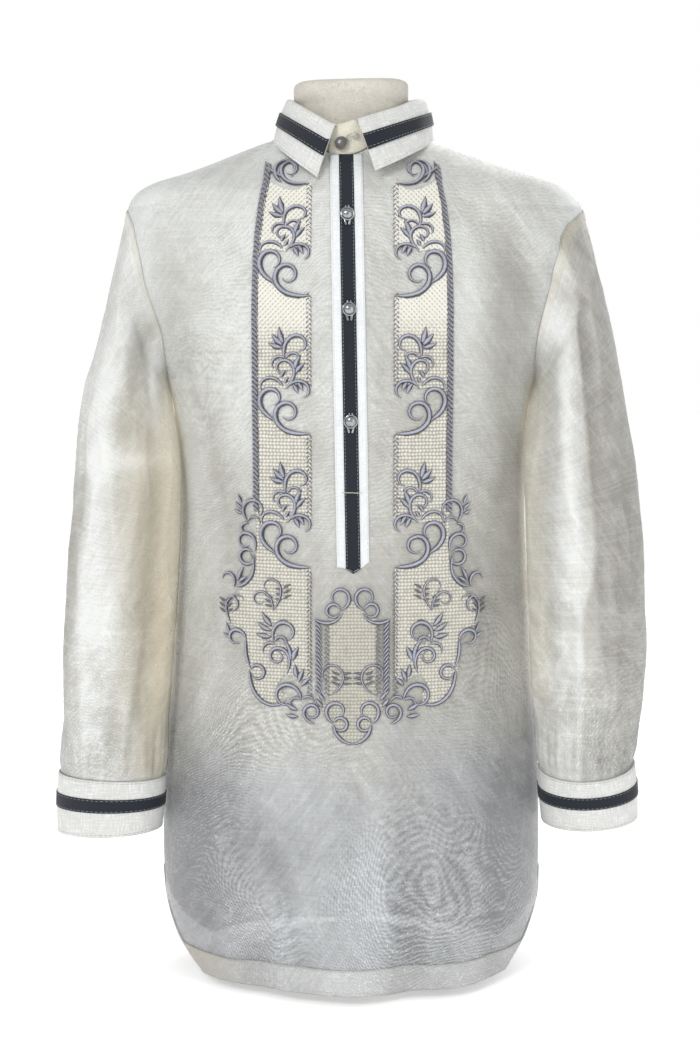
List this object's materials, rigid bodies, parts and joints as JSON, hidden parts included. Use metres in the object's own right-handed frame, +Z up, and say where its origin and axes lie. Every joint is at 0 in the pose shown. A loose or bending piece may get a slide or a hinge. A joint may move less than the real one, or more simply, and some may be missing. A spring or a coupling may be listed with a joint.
{
  "type": "barong tagalog shirt on a dress form",
  "caption": "Sheer long-sleeved barong shirt with shirt collar, ribbon-edged half placket, embroidered front, ribbon cuffs and side slits, on a limbless countertop dress form.",
  "frame": {"origin": "centre of the base plate's underside, on the surface that the form stands on", "axes": "+Z up, -Y the shirt's front, +X to the right as seen from the front (the wearer's left)"},
  "size_m": [0.5954, 0.2627, 0.9078],
  "materials": {
    "sheer_cloth": "sheer plain-woven organza, ivory, with a watered sheen",
    "crisp_cloth": "the same cloth doubled and interfaced",
    "navy_ribbon": "matt navy ribbon, edge-stitched in grey",
    "openwork": "cream openwork lattice and grey corded embroidery",
    "stud_metal": "polished domed metal",
    "shell_button": "grey-brown pearly shell",
    "form_linen": "natural linen cover with flecks",
    "stand_metal": "pale satin paint"
  },
  "bodies": {
    "root": {"front": "sheer_cloth", "back": "sheer_cloth", "sleeve_left": "sheer_cloth", "sleeve_right": "sheer_cloth", "collar_stand": "crisp_cloth", "collar_leaf": "crisp_cloth", "cuff_left": "crisp_cloth", "cuff_right": "crisp_cloth", "placket": "crisp_cloth", "collar_ribbon": "navy_ribbon", "cuff_ribbon_left": "navy_ribbon", "cuff_ribbon_right": "navy_ribbon", "placket_ribbon": "navy_ribbon", "calado_left": "openwork", "calado_right": "openwork", "calado_centre": "openwork", "stud_1": "stud_metal", "stud_2": "stud_metal", "stud_3": "stud_metal", "collar_button": "shell_button", "cuff_button_left": "shell_button", "cuff_button_right": "shell_button", "form_torso": "form_linen", "form_pole": "stand_metal", "form_base": "stand_metal"}
  },
  "joints": []
}
